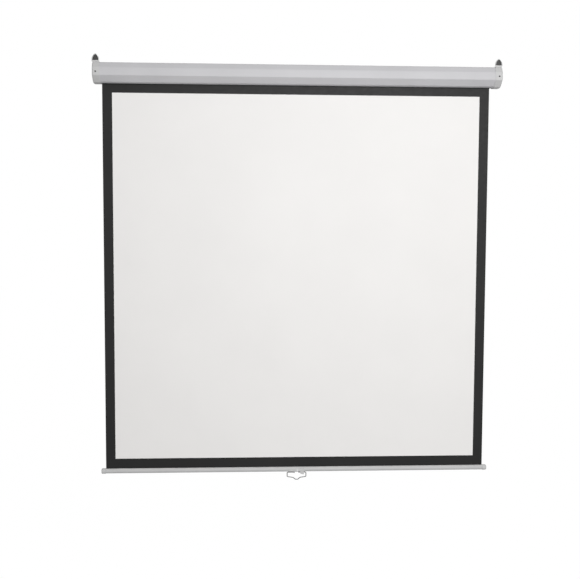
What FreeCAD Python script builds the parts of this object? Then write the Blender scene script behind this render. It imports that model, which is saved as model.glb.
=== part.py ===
import FreeCAD, Part
import math
import os

from FreeCAD import Vector

# Pull-down projection screen: a wall case with a spring roller, a bordered fabric and a weighted bar.
# Millimetres. The origin is midway between the two hanger holes, on the back faces of the hanger plates.
# +X is the viewer's right, +Y goes back to the wall and +Z is up, so the front faces -Y.

# Fabric
fabric_width = 1800.0
fabric_drop = 1802.0
fabric_thickness = 0.5
fabric_shift = 5.0
fabric_side_room = 42.0

# Case profile, seen from its end
front_reach = 40.0
back_reach = 40.0
top_facet_height = 25.0
top_facet_setback = 13.5
front_face_height = 35.0
front_bulge = 1.5
lower_facet_height = 26.0
lower_facet_setback = 28.5
underside_fall = 4.0
underside_run = 12.0
case_wall = 1.5
back_bottom_radius = 3.0
back_top_radius = 6.0
top_front_radius = 8.0
upper_crease_radius = 8.0
front_face_radius = 120.0
lower_crease_radius = 2.0
bottom_front_radius = 2.5
underside_radius = 4.0
slot_width = 14.0
slot_lip_height = 5.0

# End caps
cap_reach = 33.0
cap_wall = 2.2
cap_end_wall = 4.0
cap_fit = 0.25
case_end_gap = 0.3
cap_corner_extra = 2.5
cap_edge_radius = 6.0
cap_lip_drop = 2.5
boss_radius = 12.0

# Hanger lugs on the caps
hole_height = 25.0
lug_rim = 3.0
lug_thickness = 6.0
lug_overhang = 4.5
lug_foot_height = 6.0
window_width = 27.0
window_height = 27.0
window_sill = 10.6
window_arch_radius = 29.0
plate_thickness = 5.0
plate_inset = 1.5
hanger_hole_radius = 3.25
hanger_hole_depth = 3.5
hanger_screw_spacing = 18.0
hanger_screw_reach = 9.5

# Fasteners
screw_radius = 1.5
screw_head_radius = 3.5
screw_head_height = 1.8
screw_edge_radius = 0.8
screw_recess_width = 0.9
screw_recess_depth = 0.9
screw_hole_gap = 0.05
cap_screw_length = 9.0
cap_screw_inset = 16.0
cap_screw_drop = 1.5
bracket_screw_length = 6.0

# Roller
roller_height = 46.0
tube_radius = 19.0
tube_wall = 1.2
tube_margin = 3.0
wrap_turns = 2
wrap_gap = 0.6
wrap_clearance = 0.2
press_gap = 0.02
running_gap = 0.05
flange_inset = 0.3

# Idle end, on the left
idle_pin_radius = 4.0
idle_plug_length = 24.0
idle_flange = 3.0
bush_wall = 3.0
bush_length = 14.0
bush_flange_radius = 10.0
bush_flange = 1.5
idle_end_gap = 4.5
idle_pin_end_gap = 2.0

# Spring end, on the right
spindle_radius = 4.0
tang_thickness = 5.0
tang_length = 32.0
tang_end_gap = 3.0
tang_boss_length = 20.0
head_length = 28.0
head_flange = 3.0
head_wall = 1.8
head_recess_depth = 12.0
ratchet_share = 0.4375
ratchet_width = 8.0
ratchet_side_gap = 1.0
notch_width = 4.2
notch_floor = 0.8
collar_radius = 13.0
collar_length = 10.0
collar_gap = 10.0
cross_pin_radius = 1.2
cross_pin_inset = 0.3
spring_wire_radius = 1.0
spring_radius = 10.0
spring_pitch = 9.5
spring_turns = 36
spring_bend_radius = 3.0
spring_plug_gap = 0.3
spring_plug_length = 18.0
spindle_tail_gap = 2.0

# Pawls
pawl_eye_gap = 1.0
pawl_eye_radius = 3.0
pawl_tip_radius = 1.8
pawl_web_half = 2.0
pawl_clearance = 0.6
pawl_tip_angle = 50.0
pawl_swing = 25.0
pawl_width = 6.0
pawl_side_gap = 0.3
pawl_pin_radius = 1.5
pawl_pin_depth = 5.0
pawl_pin_head_radius = 2.4
pawl_pin_head = 1.0

# Bottom bar
bar_radius = 11.5
bar_wall = 1.2
bar_slot_width = 2.4
bar_overrun = 2.0
hem_rod_radius = 3.0
hem_rod_inset = 5.0
hem_rod_height = 5.5
hem_clearance = 0.25
bar_cap_radius = 13.0
bar_cap_length = 19.0
bar_cap_edge_radius = 5.0
bar_cap_spigot = 14.0
bar_cap_fit = 0.2
bar_cap_spigot_top = 1.0

# Pull handle and its bracket
wire_radius = 2.0
handle_shift = 3.0
handle_half_width = 45.0
handle_bend_radius = 4.0
handle_elbow_drop = 21.0
handle_shoulder_x = 16.5
handle_shoulder_drop = 25.5
handle_dip_x = 6.0
handle_dip_drop = 34.5
bracket_sheet = 1.5
bracket_gap = 0.1
bracket_flange_top = 2.0
bracket_flange_drop = 6.5
bracket_back_reach = 6.0
knuckle_width = 6.0
knuckle_radius = 3.8
knuckle_side_gap = 0.4
handle_end_gap = 16.0
pivot_clearance = 0.5
tab_width = 18.5
tab_inset = 6.0
tab_top = 8.0
tab_drop = 11.0
tab_chamfer = 6.0
bracket_screw_places = (-25.0, 3.0)
bracket_screw_drop = 3.5

# One overrun serves all cuts
overrun = 1.0

# Places worked out from the dimensions
case_height = lower_facet_height + front_face_height + top_facet_height
case_top_z = -hole_height
case_bottom_z = case_top_z - case_height
underside_z = case_bottom_z - underside_fall
roller_z = case_bottom_z + roller_height
half_length = fabric_width / 2 + fabric_side_room
cap_inner_x = half_length - cap_end_wall
cap_growth = cap_fit + cap_wall
cap_top_z = case_top_z + cap_growth
cap_bottom_z = underside_z - cap_lip_drop
lug_width = window_width + 2 * lug_rim
lug_x = half_length + lug_overhang - lug_width / 2
lug_foot = cap_reach + lug_overhang - lug_width
lug_back_y = -plate_thickness
lug_front_y = lug_back_y - lug_thickness
sill_z = case_top_z + window_sill
tube_inner_radius = tube_radius - tube_wall
head_recess_radius = tube_inner_radius - head_wall
ratchet_radius = head_recess_radius * ratchet_share
notch_depth = ratchet_radius - spindle_radius - notch_floor
pawl_pivot_radius = head_recess_radius - pawl_eye_radius - pawl_eye_gap
tube_left_x = -fabric_shift - fabric_width / 2 - tube_margin
tube_right_x = -fabric_shift + fabric_width / 2 + tube_margin
wrap_pitch = fabric_thickness + wrap_gap
fabric_y = tube_radius + wrap_clearance + fabric_thickness / 2 + wrap_turns * wrap_pitch
bar_x = -fabric_shift
handle_x = bar_x + handle_shift
bar_z = case_bottom_z - fabric_drop - bar_radius
bar_half = fabric_width / 2 + bar_overrun
hem_z = bar_z + hem_rod_height
pivot_drop = bar_radius + bracket_gap + bracket_sheet + pivot_clearance + wire_radius
pivot_z = bar_z - pivot_drop
bracket_half = handle_half_width - handle_bend_radius - knuckle_side_gap
ratchet_x = tube_right_x + head_flange - head_recess_depth + ratchet_side_gap
collar_right_x = tube_right_x - head_length - collar_gap
collar_left_x = collar_right_x - collar_length


# Shared shapes
def box(x0, x1, y0, y1, z0, z1):
    return Part.makeBox(x1 - x0, y1 - y0, z1 - z0, Vector(x0, y0, z0))


def rod_x(radius, x0, x1, y, z):
    return Part.makeCylinder(radius, x1 - x0, Vector(x0, y, z), Vector(1, 0, 0))


def rod_y(radius, y0, y1, x, z):
    return Part.makeCylinder(radius, y1 - y0, Vector(x, y0, z), Vector(0, 1, 0))


def rod_z(radius, z0, z1, x, y):
    return Part.makeCylinder(radius, z1 - z0, Vector(x, y, z0), Vector(0, 0, 1))


def span_x(side, near, far):
    """The two X places of a stretch measured out from the middle, lowest first."""
    return sorted((side * near, side * far))


def grown(corners, distance):
    """A closed outline moved out by a distance. Its corners run anticlockwise."""
    count = len(corners)
    lines = []
    for i in range(count):
        start = corners[i]
        run = corners[(i + 1) % count] - start
        run.normalize()
        lines.append((start + Vector(run.y, -run.x, 0) * distance, run))
    moved = []
    for i in range(count):
        point, run = lines[i - 1]
        other, other_run = lines[i]
        gap = other - point
        turn = run.x * other_run.y - run.y * other_run.x
        reach = (gap.x * other_run.y - gap.y * other_run.x) / turn
        moved.append(point + run * reach)
    return moved


def corner_arc(before, corner, after, radius):
    """Start, middle and end of the arc that rounds a corner."""
    back = (before - corner).normalize()
    ahead = (after - corner).normalize()
    half = back.getAngle(ahead) / 2
    inward = (back + ahead).normalize()
    reach = radius / math.tan(half)
    middle = corner + inward * (radius / math.sin(half) - radius)
    return corner + back * reach, middle, corner + ahead * reach


def rounded_outline(corners, radii):
    """A closed wire of straight runs and tangent arcs."""
    count = len(corners)
    arcs = []
    for i in range(count):
        arcs.append(corner_arc(corners[i - 1], corners[i], corners[(i + 1) % count], radii[i]))
    edges = []
    for i in range(count):
        start, middle, end = arcs[i]
        edges.append(Part.Arc(start, middle, end).toShape())
        edges.append(Part.LineSegment(end, arcs[(i + 1) % count][0]).toShape())
    return Part.Wire(edges)


def rounded_path(points, radius):
    """An open wire of straight runs with every inner corner rounded alike."""
    edges = []
    start = points[0]
    for i in range(1, len(points) - 1):
        near, middle, far = corner_arc(points[i - 1], points[i], points[i + 1], radius)
        edges.append(Part.LineSegment(start, near).toShape())
        edges.append(Part.Arc(near, middle, far).toShape())
        start = far
    edges.append(Part.LineSegment(start, points[-1]).toShape())
    return Part.Wire(edges)


def prism_x(wire, x0, x1):
    """An outline drawn as (Y, Z) in the XY plane, stood up across X and drawn out from x0 to x1."""
    solid = Part.Face(wire).extrude(Vector(0, 0, x1 - x0))
    solid.transformShape(FreeCAD.Matrix(0, 0, 1, x0, 1, 0, 0, 0, 0, 1, 0, 0, 0, 0, 0, 1))
    return solid


def pipe(wire, radius):
    """A round wire along a path, checked against its section times its length."""
    start = wire.OrderedEdges[0]
    point = start.valueAt(start.FirstParameter)
    ring = Part.Wire(Part.makeCircle(radius, point, start.tangentAt(start.FirstParameter)))
    solid = wire.makePipeShell([ring], True, False)
    share = solid.Volume / (math.pi * radius ** 2 * wire.Length)
    print("pipe volume over section times length", round(share, 4))
    return solid


def pan_screw(tip, direction, length, head_radius):
    """A pan-head screw with a crossed recess, its tip at a point, leading along a direction."""
    shank = Part.makeCylinder(screw_radius, length)
    head = Part.makeCylinder(head_radius, screw_head_height, Vector(0, 0, -screw_head_height))
    rim = [edge for edge in head.Edges if edge.BoundBox.ZMax < -screw_head_height / 2]
    head = head.makeFillet(screw_edge_radius, rim)
    screw = shank.fuse(head).removeSplitter()
    arm = head_radius - screw_edge_radius
    top = -screw_head_height - overrun
    floor = screw_recess_depth - screw_head_height
    for along, across in ((arm, screw_recess_width / 2), (screw_recess_width / 2, arm)):
        screw = screw.cut(box(-along, along, -across, across, top, floor))
    screw.Placement = FreeCAD.Placement(
        tip - direction * length, FreeCAD.Rotation(Vector(0, 0, 1), direction)
    )
    return screw


parts = {}


# Case: one folded profile with a slot under the back of the roller
def profile_corners(drop):
    """The case profile as (Y, Z) corners from its underside's front, its bottom lowered by a drop."""
    back = back_reach
    face = -front_reach + front_bulge
    bottom_y = face + lower_facet_setback * (1 + drop / lower_facet_height)
    upper_z = lower_facet_height + front_face_height
    middle_z = lower_facet_height + front_face_height / 2
    return [
        Vector(bottom_y, case_bottom_z - drop, 0),
        Vector(bottom_y + underside_run, underside_z - drop, 0),
        Vector(back, underside_z - drop, 0),
        Vector(back, case_top_z, 0),
        Vector(face + top_facet_setback, case_top_z, 0),
        Vector(face, case_bottom_z + upper_z, 0),
        Vector(-front_reach, case_bottom_z + middle_z, 0),
        Vector(face, case_bottom_z + lower_facet_height, 0),
    ]


profile_radii = [
    bottom_front_radius,
    underside_radius,
    back_bottom_radius,
    back_top_radius,
    top_front_radius,
    upper_crease_radius,
    front_face_radius,
    lower_crease_radius,
]
case_corners = profile_corners(0)
case_half = cap_inner_x - case_end_gap
outer_wire = rounded_outline(case_corners, profile_radii)
inner_radii = [radius - case_wall for radius in profile_radii]
inner_wire = rounded_outline(grown(case_corners, -case_wall), inner_radii)
case_shell = prism_x(outer_wire, -case_half, case_half)
case_shell = case_shell.cut(prism_x(inner_wire, -case_half - overrun, case_half + overrun))
slot_front_y = fabric_y - slot_width / 2
slot_back_y = fabric_y + slot_width / 2
lip_top_z = underside_z + case_wall + slot_lip_height
for lip_y in (slot_front_y - case_wall, slot_back_y):
    lip = box(-case_half, case_half, lip_y, lip_y + case_wall, underside_z, lip_top_z)
    case_shell = case_shell.fuse(lip)
case_shell = case_shell.removeSplitter()
slot_top_z = underside_z + case_wall + overrun
slot_cut = box(
    -case_half - overrun, case_half + overrun, slot_front_y, slot_back_y, underside_z - overrun, slot_top_z
)
case_shell = case_shell.cut(slot_cut)


# Fasteners of the caps: one through the front at each end
front_screw_z = case_bottom_z + lower_facet_height + front_face_height / 2 - cap_screw_drop
cap_screw_x = half_length - cap_screw_inset
cap_front_y = -front_reach - cap_growth
cap_screws = []
for side in (-1, 1):
    front_tip = Vector(side * cap_screw_x, cap_front_y + cap_screw_length, front_screw_z)
    cap_screws.append(pan_screw(front_tip, Vector(0, 1, 0), cap_screw_length, screw_head_radius))
parts["cap_screws"] = Part.makeCompound(cap_screws)

hole_radius = screw_radius + screw_hole_gap
cap_screw_holes = []
for side in (-1, 1):
    front_end_y = cap_front_y + cap_screw_length + overrun
    front_start_y = cap_front_y - overrun
    cap_screw_holes.append(rod_y(hole_radius, front_start_y, front_end_y, side * cap_screw_x, front_screw_z))
for hole in cap_screw_holes:
    case_shell = case_shell.cut(hole)
parts["case_shell"] = case_shell


# End caps: moulded boxes that close the case, each with a hanger lug and a bearing boss
def arch_outline(x, half_width, radius, base_z, spring_z, foot, heel):
    """A pointed arch in the XZ plane, its foot flared on the inner side and drawn in on the outer."""
    rise = math.sqrt(radius ** 2 - (radius - half_width) ** 2)
    sweep = math.asin(rise / radius) / 2
    inner = -1 if x > 0 else 1
    bow_x = half_width - radius + radius * math.cos(sweep)
    bow_z = spring_z + radius * math.sin(sweep)
    apex = Vector(x, 0, spring_z + rise)
    near = Vector(x + inner * half_width, 0, spring_z)
    far = Vector(x - inner * half_width, 0, spring_z)
    base_far = Vector(x - inner * (half_width - heel), 0, base_z)
    toe = Vector(x + inner * (half_width + foot), 0, base_z)
    edges = [
        Part.Arc(near, Vector(x + inner * bow_x, 0, bow_z), apex).toShape(),
        Part.Arc(apex, Vector(x - inner * bow_x, 0, bow_z), far).toShape(),
    ]
    if heel > 0:
        outer_ankle = Vector(x - inner * half_width, 0, base_z + lug_foot_height)
        edges.append(Part.LineSegment(far, outer_ankle).toShape())
        edges.append(Part.LineSegment(outer_ankle, base_far).toShape())
    else:
        edges.append(Part.LineSegment(far, base_far).toShape())
    edges.append(Part.LineSegment(base_far, toe).toShape())
    if foot > 0:
        ankle = Vector(x + inner * half_width, 0, base_z + lug_foot_height)
        edges.append(Part.LineSegment(toe, ankle).toShape())
        edges.append(Part.LineSegment(ankle, near).toShape())
    else:
        edges.append(Part.LineSegment(toe, near).toShape())
    return Part.Wire(edges)


def slab_y(wire, y0, y1):
    """An outline drawn in the XZ plane, made into a slab between two Y places."""
    face = Part.Face(wire)
    face.translate(Vector(0, y0, 0))
    return face.extrude(Vector(0, y1 - y0, 0))


window_half = window_width / 2
window_rise = math.sqrt(window_arch_radius ** 2 - (window_arch_radius - window_half) ** 2)
spring_z = sill_z + window_height - window_rise
lug_arch_radius = window_arch_radius + lug_rim
hanger_screw_z = (cap_top_z + sill_z) / 2


def hanger_screw_xs(side):
    return [side * lug_x - hanger_screw_spacing / 2, side * lug_x + hanger_screw_spacing / 2]


def hanger_lug(side):
    x = side * lug_x
    base_z = case_top_z + cap_fit
    outline = arch_outline(x, lug_width / 2, lug_arch_radius, base_z, spring_z, lug_foot, lug_overhang)
    lug = slab_y(outline, lug_front_y, lug_back_y)
    heel_x = span_x(side, cap_inner_x, half_length)
    heel = box(heel_x[0], heel_x[1], lug_front_y, lug_back_y, cap_top_z - cap_edge_radius, cap_top_z)
    window = arch_outline(x, window_half, window_arch_radius, sill_z, spring_z, 0, 0)
    lug = lug.fuse(heel)
    lug = lug.cut(slab_y(window, lug_front_y - overrun, lug_back_y + overrun))
    for screw_x in hanger_screw_xs(side):
        hole_y = -hanger_screw_reach - screw_hole_gap
        lug = lug.cut(rod_y(hole_radius, hole_y, overrun, screw_x, hanger_screw_z))
    return lug


def end_cap(side):
    corners = grown(profile_corners(cap_lip_drop - cap_growth), cap_growth)
    radii = [radius + cap_growth + cap_corner_extra for radius in profile_radii]
    reach = span_x(side, half_length - cap_reach, half_length)
    cap = prism_x(rounded_outline(corners, radii), reach[0], reach[1])
    end_x = side * half_length
    rim = []
    for edge in cap.Edges:
        if abs(edge.BoundBox.XMin - end_x) + abs(edge.BoundBox.XMax - end_x) < cap_fit:
            rim.append(edge)
    cap = cap.makeFillet(cap_edge_radius, rim)
    pocket = span_x(side, half_length - cap_reach - overrun, cap_inner_x)
    pocket_radii = [radius + cap_fit for radius in profile_radii]
    pocket_wire = rounded_outline(grown(case_corners, cap_fit), pocket_radii)
    cap = cap.cut(prism_x(pocket_wire, pocket[0], pocket[1]))
    cap = cap.fuse(hanger_lug(side))
    for hole in cap_screw_holes:
        cap = cap.cut(hole)
    return cap


bush_radius = idle_pin_radius + running_gap + bush_wall
idle_boss_x = tube_left_x - idle_flange - idle_end_gap - bush_flange
left_cap = end_cap(-1).fuse(rod_x(boss_radius, -cap_inner_x, idle_boss_x, 0, roller_z))
bush_seat_x = idle_boss_x - bush_length
left_cap = left_cap.cut(rod_x(bush_radius + press_gap, bush_seat_x, idle_boss_x + overrun, 0, roller_z))
parts["left_end_cap"] = left_cap.removeSplitter()


def tang(gap, x0, x1):
    """The spindle's flat-sided end, or the socket for it when a gap is given."""
    round_end = rod_x(spindle_radius + gap, x0, x1, 0, roller_z)
    half = tang_thickness / 2 + gap
    reach = spindle_radius + overrun
    return round_end.common(box(x0, x1, -half, half, roller_z - reach, roller_z + reach))


tang_boss_x = cap_inner_x - tang_boss_length
tang_end_x = cap_inner_x - tang_end_gap
right_cap = end_cap(1).fuse(rod_x(boss_radius, tang_boss_x, cap_inner_x, 0, roller_z))
right_cap = right_cap.cut(tang(running_gap, tang_boss_x - overrun, tang_end_x + running_gap))
parts["right_end_cap"] = right_cap.removeSplitter()


# Hanger plates: steel plates behind the lug windows, screwed on from the back
def hanger_plate(side):
    x = side * lug_x
    radius = lug_arch_radius - plate_inset
    half_width = lug_width / 2 - plate_inset
    outline = arch_outline(x, half_width, radius, cap_top_z, spring_z, 0, lug_overhang)
    plate = slab_y(outline, -plate_thickness, 0)
    plate = plate.cut(rod_y(hanger_hole_radius, -hanger_hole_depth, overrun, x, 0))
    for screw_x in hanger_screw_xs(side):
        plate = plate.cut(rod_y(hole_radius, -plate_thickness - overrun, overrun, screw_x, hanger_screw_z))
    return plate


parts["left_hanger_plate"] = hanger_plate(-1)
parts["right_hanger_plate"] = hanger_plate(1)
hanger_screws = []
for side in (-1, 1):
    for screw_x in hanger_screw_xs(side):
        tip = Vector(screw_x, -hanger_screw_reach, hanger_screw_z)
        hanger_screws.append(pan_screw(tip, Vector(0, -1, 0), hanger_screw_reach, screw_head_radius))
parts["hanger_screws"] = Part.makeCompound(hanger_screws)


# Roller tube with its idle end: plug, pin and bush
def sleeve_x(outer, inner, x0, x1):
    hollow = rod_x(inner, x0 - overrun, x1 + overrun, 0, roller_z)
    return rod_x(outer, x0, x1, 0, roller_z).cut(hollow)


parts["roller_tube"] = sleeve_x(tube_radius, tube_inner_radius, tube_left_x, tube_right_x)
plug_radius = tube_inner_radius - press_gap
flange_radius = tube_radius - flange_inset
idle_plug = rod_x(plug_radius, tube_left_x, tube_left_x + idle_plug_length, 0, roller_z)
idle_plug = idle_plug.fuse(rod_x(flange_radius, tube_left_x - idle_flange, tube_left_x, 0, roller_z))
pin_left_x = bush_seat_x + idle_pin_end_gap
pin_right_x = tube_left_x + idle_plug_length
pin_bore = rod_x(
    idle_pin_radius + press_gap, tube_left_x - idle_flange - overrun, pin_right_x + overrun, 0, roller_z
)
parts["idle_plug"] = idle_plug.cut(pin_bore).removeSplitter()
parts["idle_pin"] = rod_x(idle_pin_radius, pin_left_x, pin_right_x, 0, roller_z)
bush = rod_x(bush_radius, bush_seat_x, idle_boss_x, 0, roller_z)
bush = bush.fuse(rod_x(bush_flange_radius, idle_boss_x, idle_boss_x + bush_flange, 0, roller_z))
bush_bore = rod_x(
    idle_pin_radius + running_gap, bush_seat_x - overrun, idle_boss_x + bush_flange + overrun, 0, roller_z
)
parts["idle_bush"] = bush.cut(bush_bore).removeSplitter()

# Fabric left on the roller: a spiral of half circles whose centres take turns
wrap_edges = []
for half_turn in range(2 * wrap_turns):
    radius = fabric_y - half_turn * wrap_pitch / 2
    upper = half_turn % 2 == 0
    centre_y = 0 if upper else -wrap_pitch / 2
    start = Vector(centre_y + (radius if upper else -radius), roller_z, 0)
    crest = Vector(centre_y, roller_z + (radius if upper else -radius), 0)
    end = Vector(centre_y - (radius if upper else -radius), roller_z, 0)
    wrap_edges.append((start, crest, end, centre_y))


def wrap_side(offset):
    """One face of the wound fabric, moved out from its middle line."""
    arcs = []
    for start, crest, end, centre_y in wrap_edges:
        centre = Vector(centre_y, roller_z, 0)
        moved = [point + (point - centre).normalize() * offset for point in (start, crest, end)]
        arcs.append(Part.Arc(*moved).toShape())
    return arcs


outer_side = wrap_side(fabric_thickness / 2)
inner_side = wrap_side(-fabric_thickness / 2)
wrap_start = Part.LineSegment(inner_side[0].firstVertex(True).Point, outer_side[0].firstVertex(True).Point)
wrap_end = Part.LineSegment(outer_side[-1].lastVertex(True).Point, inner_side[-1].lastVertex(True).Point)
wrap_ends = [wrap_start.toShape(), wrap_end.toShape()]
wrap_wire = Part.Wire(Part.sortEdges(outer_side + inner_side + wrap_ends)[0])
fabric_left_x = -fabric_shift - fabric_width / 2
fabric_right_x = -fabric_shift + fabric_width / 2
parts["fabric_wraps"] = prism_x(wrap_wire, fabric_left_x, fabric_right_x)

# Spring end: head, spindle, ratchet, collar and cross pins
recess_floor_x = tube_right_x + head_flange - head_recess_depth
head_right_x = tube_right_x + head_flange
head = rod_x(plug_radius, tube_right_x - head_length, tube_right_x, 0, roller_z)
head = head.fuse(rod_x(flange_radius, tube_right_x, head_right_x, 0, roller_z))
head = head.cut(rod_x(head_recess_radius, recess_floor_x, head_right_x + overrun, 0, roller_z))
head_bore = rod_x(
    spindle_radius + running_gap, tube_right_x - head_length - overrun, head_right_x, 0, roller_z
)
head = head.cut(head_bore)

bend_cosine = spring_pitch / math.hypot(spring_pitch, 2 * math.pi * spring_radius)
bend_sine = math.sqrt(1 - bend_cosine ** 2)
spring_end_length = 2 * spring_wire_radius + spring_bend_radius * bend_sine
spring_length = spring_turns * spring_pitch + 2 * spring_end_length
plug_right_x = collar_left_x - spring_length - spring_plug_gap
plug_left_x = plug_right_x - spring_plug_length
spindle_left_x = plug_left_x + spindle_tail_gap
tang_left_x = tang_end_x - tang_length
spindle = rod_x(spindle_radius, spindle_left_x, tang_left_x, 0, roller_z)
spindle = spindle.fuse(tang(0, tang_left_x, tang_end_x))
ratchet = sleeve_x(ratchet_radius, spindle_radius + press_gap, ratchet_x, ratchet_x + ratchet_width)
for turn in (-pawl_tip_angle, 180 - pawl_tip_angle):
    notch = box(
        ratchet_x - overrun,
        ratchet_x + ratchet_width + overrun,
        -notch_width / 2,
        notch_width / 2,
        roller_z + ratchet_radius - notch_depth,
        roller_z + ratchet_radius + overrun,
    )
    notch.rotate(Vector(0, 0, roller_z), Vector(1, 0, 0), turn)
    ratchet = ratchet.cut(notch)
collar = sleeve_x(collar_radius, spindle_radius + press_gap, collar_left_x, collar_right_x)
cross_pins = []
for pin_x, reach in (
    (ratchet_x + ratchet_width / 2, ratchet_radius - cross_pin_inset),
    ((collar_left_x + collar_right_x) / 2, collar_radius - cross_pin_inset),
):
    cross_pins.append(rod_z(cross_pin_radius, roller_z - reach, roller_z + reach, pin_x, 0))
    drill = rod_z(
        cross_pin_radius + press_gap, roller_z - reach - overrun, roller_z + reach + overrun, pin_x, 0
    )
    spindle = spindle.cut(drill)
    ratchet = ratchet.cut(drill)
    collar = collar.cut(drill)
parts["spindle"] = spindle.removeSplitter()
parts["ratchet_wheel"] = ratchet
parts["spring_collar"] = collar
parts["spindle_pins"] = Part.makeCompound(cross_pins)
parts["spring_plug"] = sleeve_x(plug_radius, spindle_radius + running_gap, plug_left_x, plug_right_x)


# Torsion spring: a helix of half-turn biarcs with short straight ends along the roller
def biarc(start, start_run, end, end_run):
    """Two arcs that leave one point and reach another along given directions."""
    gap = end - start
    both = start_run + end_run
    square = 2 * (start_run.dot(end_run) - 1)
    linear = -2 * gap.dot(both)
    reach = (-linear - math.sqrt(linear ** 2 - 4 * square * gap.dot(gap))) / (2 * square)
    first = start + start_run * reach
    second = end - end_run * reach
    join = (first + second) / 2
    arcs = []
    for a, peak, b in ((start, first, join), (join, second, end)):
        middle = (a + b) / 2
        rise = peak - middle
        lean = math.atan2(rise.Length, (b - a).Length / 2)
        arcs.append(Part.Arc(a, middle + rise * (math.tan(lean / 2) / math.tan(lean)), b).toShape())
    return arcs


def helix_point(x, angle):
    return Vector(x, spring_radius * math.cos(angle), roller_z + spring_radius * math.sin(angle))


def around(angle):
    return Vector(0, -math.sin(angle), math.cos(angle))


def helix_run(angle):
    return Vector(bend_cosine, 0, 0) + around(angle) * bend_sine


axial = Vector(1, 0, 0)
helix_left_x = plug_right_x + spring_plug_gap + spring_end_length
bend_half = math.acos(bend_cosine) / 2


def spring_bend(angle, x, outward):
    """The bend from the helix to a straight end along the roller, outward being -1 left and 1 right."""
    turn = around(angle)
    root = helix_point(x, angle)
    foot = root + (axial * bend_sine + turn * (1 - bend_cosine)) * (outward * spring_bend_radius)
    halfway = axial * (bend_sine - math.sin(bend_half)) + turn * (math.cos(bend_half) - bend_cosine)
    middle = root + halfway * (outward * spring_bend_radius)
    tip = foot + axial * (outward * 2 * spring_wire_radius)
    return root, middle, foot, tip


spring_edges = []
root, middle, foot, tip = spring_bend(0, helix_left_x, -1)
spring_edges.append(Part.LineSegment(tip, foot).toShape())
spring_edges.append(Part.Arc(foot, middle, root).toShape())
for step in range(2 * spring_turns):
    near_angle = step * math.pi
    far_angle = near_angle + math.pi
    near_point = helix_point(helix_left_x + step * spring_pitch / 2, near_angle)
    far_point = helix_point(helix_left_x + (step + 1) * spring_pitch / 2, far_angle)
    spring_edges += biarc(near_point, helix_run(near_angle), far_point, helix_run(far_angle))
spring_end_angle = 2 * math.pi * spring_turns
root, middle, foot, tip = spring_bend(spring_end_angle, helix_left_x + spring_turns * spring_pitch, 1)
spring_edges.append(Part.Arc(root, middle, foot).toShape())
spring_edges.append(Part.LineSegment(foot, tip).toShape())
parts["torsion_spring"] = pipe(Part.Wire(spring_edges), spring_wire_radius)
print("spring's least gap to itself", round(spring_pitch * bend_sine - 2 * spring_wire_radius, 3))


# Pawls: two swinging levers on pins in the head's recess, half a turn apart
def pawl_tip(swing):
    """The pawl's pivot and tip as (Y, Z) about the roller's axis, swung out by an angle."""
    reach = ratchet_radius + pawl_clearance + pawl_tip_radius
    angle = math.radians(pawl_tip_angle)
    pivot = Vector(0, pawl_pivot_radius, 0)
    arm = Vector(reach * math.sin(angle), reach * math.cos(angle), 0) - pivot
    turn = math.radians(swing)
    turned_y = arm.x * math.cos(turn) - arm.y * math.sin(turn)
    turned_z = arm.x * math.sin(turn) + arm.y * math.cos(turn)
    return pivot, pivot + Vector(turned_y, turned_z, 0)


pawl_left_x = recess_floor_x + pawl_side_gap
pawl_right_x = pawl_left_x + pawl_width


def pawl(side, swing):
    pivot, tip = pawl_tip(swing)
    pivot = pivot * side
    tip = tip * side
    across = Vector(tip.y - pivot.y, pivot.x - tip.x, 0).normalize()
    web = Part.makePolygon([
        pivot + across * pawl_web_half,
        pivot - across * pawl_web_half,
        tip - across * pawl_tip_radius,
        tip + across * pawl_tip_radius,
        pivot + across * pawl_web_half,
    ])
    web.translate(Vector(0, roller_z, 0))
    solid = prism_x(web, pawl_left_x, pawl_right_x)
    solid = solid.fuse(rod_x(pawl_eye_radius, pawl_left_x, pawl_right_x, pivot.x, roller_z + pivot.y))
    solid = solid.fuse(rod_x(pawl_tip_radius, pawl_left_x, pawl_right_x, tip.x, roller_z + tip.y))
    eye = rod_x(
        pawl_pin_radius + running_gap,
        pawl_left_x - overrun,
        pawl_right_x + overrun,
        pivot.x,
        roller_z + pivot.y,
    )
    return solid.cut(eye).removeSplitter()


parts["pawl_upper"] = pawl(1, 0)
parts["pawl_lower"] = pawl(-1, pawl_swing)
pawl_pins = []
for side in (-1, 1):
    pin_z = roller_z + side * pawl_pivot_radius
    shank_right_x = pawl_right_x + pawl_side_gap
    pin = rod_x(pawl_pin_radius, recess_floor_x - pawl_pin_depth, shank_right_x, 0, pin_z)
    pin_head = rod_x(pawl_pin_head_radius, shank_right_x, shank_right_x + pawl_pin_head, 0, pin_z)
    pawl_pins.append(pin.fuse(pin_head).removeSplitter())
    pin_seat_x = recess_floor_x - pawl_pin_depth
    head = head.cut(rod_x(pawl_pin_radius + press_gap, pin_seat_x, recess_floor_x + overrun, 0, pin_z))
parts["pawl_pins"] = Part.makeCompound(pawl_pins)
parts["roller_head"] = head.removeSplitter()

# Hanging fabric: a flat sheet from the back of the roller, hemmed round a rod in the bar
hem_inner = hem_rod_radius + hem_clearance
hem_outer = hem_inner + fabric_thickness
sheet_bottom_z = hem_z + hem_inner
sheet = box(
    fabric_left_x,
    fabric_right_x,
    fabric_y - fabric_thickness / 2,
    fabric_y + fabric_thickness / 2,
    sheet_bottom_z,
    roller_z,
)
hem = rod_x(hem_outer, fabric_left_x, fabric_right_x, fabric_y, hem_z)
sheet = sheet.fuse(hem)
hem_hollow = rod_x(hem_inner, fabric_left_x - overrun, fabric_right_x + overrun, fabric_y, hem_z)
parts["screen_fabric"] = sheet.cut(hem_hollow).removeSplitter()

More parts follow.
